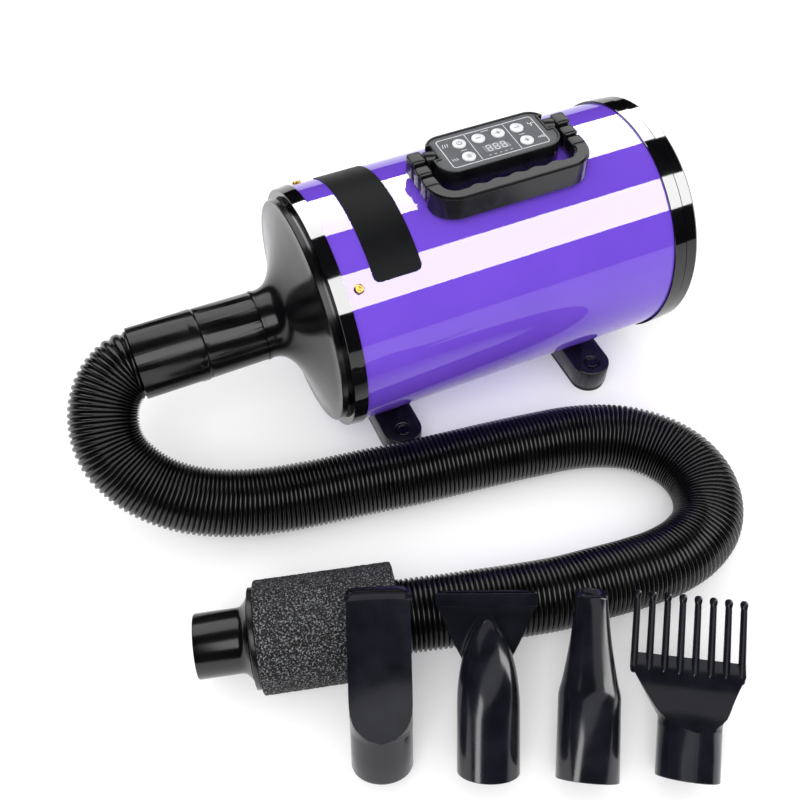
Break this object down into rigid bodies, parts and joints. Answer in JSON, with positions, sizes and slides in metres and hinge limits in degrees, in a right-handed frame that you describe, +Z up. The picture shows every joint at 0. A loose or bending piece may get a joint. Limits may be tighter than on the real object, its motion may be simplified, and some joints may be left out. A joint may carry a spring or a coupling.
{
  "type": "pet dryer",
  "caption": "Barrel pet dryer with a flared outlet, folding handle, control pod, ribbed hose with a foam-gripped handpiece, and loose nozzles leaning on the hose.",
  "frame": {"origin": "middle of the front foot's sole on the floor, under the barrel's axis", "axes": "+Z up, +X along the barrel from the outlet to the air intake"},
  "size_m": [0.4702, 0.4772, 0.2095],
  "materials": {
    "painted_steel": "glossy purple paint",
    "gloss_black": "polished injection moulding",
    "satin_black": "fine satin moulding",
    "panel_grey": "screen-printed satin film",
    "button_white": "satin",
    "display_grey": "smoked lens",
    "brass": "bright plated screw",
    "steel": "ground",
    "aluminium": "as cast",
    "rubber": "matt",
    "grip_foam": "open-cell foam",
    "liner_foam": "open-cell foam",
    "copper": "enamelled winding",
    "carbon": "pressed carbon",
    "mica": "pressed mica sheet",
    "ceramic": "glazed",
    "board_green": "solder mask",
    "hose_black": "ribbed flexible plastic",
    "nozzle_black": "polished injection moulding"
  },
  "bodies": {
    "dryer": {"barrel": "painted_steel", "front_ring": "gloss_black", "outlet_cone": "gloss_black", "rear_ring": "gloss_black", "label_plate": "gloss_black", "body_screws": "brass", "front_foot": "satin_black", "rear_foot": "satin_black", "foot_soles": "rubber", "foot_plugs": "satin_black", "cord_gland": "satin_black", "sound_liner": "liner_foam", "fan_case": "aluminium", "diffuser": "aluminium", "stator": "steel", "field_coils": "copper", "front_bearing": "steel", "rear_bearing": "steel", "motor_bracket": "aluminium", "brush_holders": "brass", "carbon_brushes": "carbon", "case_rings": "rubber", "heater_frame": "mica", "heater_coil": "steel", "thermal_cutout": "ceramic", "pod_base": "satin_black", "pod_panel": "panel_grey", "display_window": "display_grey", "circuit_board": "board_green", "heatsink": "aluminium", "handle_lugs": "satin_black", "hinge_pins": "steel", "cuff_socket": "gloss_black", "cuff_sleeve": "gloss_black", "hose": "hose_black", "hose_ferrule": "gloss_black"},
    "rotor": {"motor_shaft": "steel", "armature": "copper", "commutator": "copper", "first_impeller": "aluminium", "second_impeller": "aluminium"},
    "intake_cover": {"rear_cover": "satin_black", "intake_filter": "liner_foam"},
    "handle": {"handle_frame": "satin_black", "handle_cap": "satin_black", "arm_sleeves": "satin_black"},
    "handpiece": {"grip_core": "gloss_black", "foam_grip": "grip_foam", "outlet_tip": "gloss_black"},
    "power_button": {"power_button": "button_white"},
    "mode_button": {"mode_button": "button_white"},
    "speed_down_button": {"speed_down_button": "button_white"},
    "speed_up_button": {"speed_up_button": "button_white"},
    "heat_down_button": {"heat_down_button": "button_white"},
    "heat_up_button": {"heat_up_button": "button_white"},
    "flat_nozzle_body": {"flat_nozzle": "nozzle_black"},
    "fan_nozzle_body": {"fan_nozzle": "nozzle_black"},
    "round_nozzle_body": {"round_nozzle": "nozzle_black"},
    "comb_nozzle_body": {"comb_nozzle": "nozzle_black"}
  },
  "joints": [
    {"name": "rotor_spin", "type": "hinge", "parent": "dryer", "child": "rotor", "pos_m": [0.1, 0, 0.103], "axis": [1, 0, 0], "continuous": true},
    {"name": "handle_fold", "type": "hinge", "parent": "dryer", "child": "handle", "pos_m": [0.098, 0.005, 0.203], "axis": [-1, 0, 0], "range_deg": [0, 180]},
    {"name": "cover_pull", "type": "slide", "parent": "dryer", "child": "intake_cover", "axis": [1, 0, 0], "range_m": [0, 0.04]},
    {"name": "handpiece_swivel", "type": "hinge", "parent": "dryer", "child": "handpiece", "pos_m": [-0.066, -0.2185, 0.036], "axis": [-0.9659, 0.2588, 0], "continuous": true},
    {"name": "power_press", "type": "slide", "parent": "dryer", "child": "power_button", "axis": [0, 0, -1], "range_m": [0, 0.0006], "stiffness_N_per_m": 800, "springref_m": -0.0012},
    {"name": "mode_press", "type": "slide", "parent": "dryer", "child": "mode_button", "axis": [0, 0, -1], "range_m": [0, 0.0006], "stiffness_N_per_m": 800, "springref_m": -0.0012},
    {"name": "speed_down_press", "type": "slide", "parent": "dryer", "child": "speed_down_button", "axis": [0, 0, -1], "range_m": [0, 0.0006], "stiffness_N_per_m": 800, "springref_m": -0.0012},
    {"name": "speed_up_press", "type": "slide", "parent": "dryer", "child": "speed_up_button", "axis": [0, 0, -1], "range_m": [0, 0.0006], "stiffness_N_per_m": 800, "springref_m": -0.0012},
    {"name": "heat_down_press", "type": "slide", "parent": "dryer", "child": "heat_down_button", "axis": [0, 0, -1], "range_m": [0, 0.0006], "stiffness_N_per_m": 800, "springref_m": -0.0012},
    {"name": "heat_up_press", "type": "slide", "parent": "dryer", "child": "heat_up_button", "axis": [0, 0, -1], "range_m": [0, 0.0006], "stiffness_N_per_m": 800, "springref_m": -0.0012},
    {"name": "flat_nozzle_lift", "type": "slide", "parent": "dryer", "child": "flat_nozzle_body", "axis": [0, 0, 1], "range_m": [0, 0.1]},
    {"name": "fan_nozzle_lift", "type": "slide", "parent": "dryer", "child": "fan_nozzle_body", "axis": [0, 0, 1], "range_m": [0, 0.1]},
    {"name": "round_nozzle_lift", "type": "slide", "parent": "dryer", "child": "round_nozzle_body", "axis": [0, 0, 1], "range_m": [0, 0.1]},
    {"name": "comb_nozzle_lift", "type": "slide", "parent": "dryer", "child": "comb_nozzle_body", "axis": [0, 0, 1], "range_m": [0, 0.1]}
  ]
}
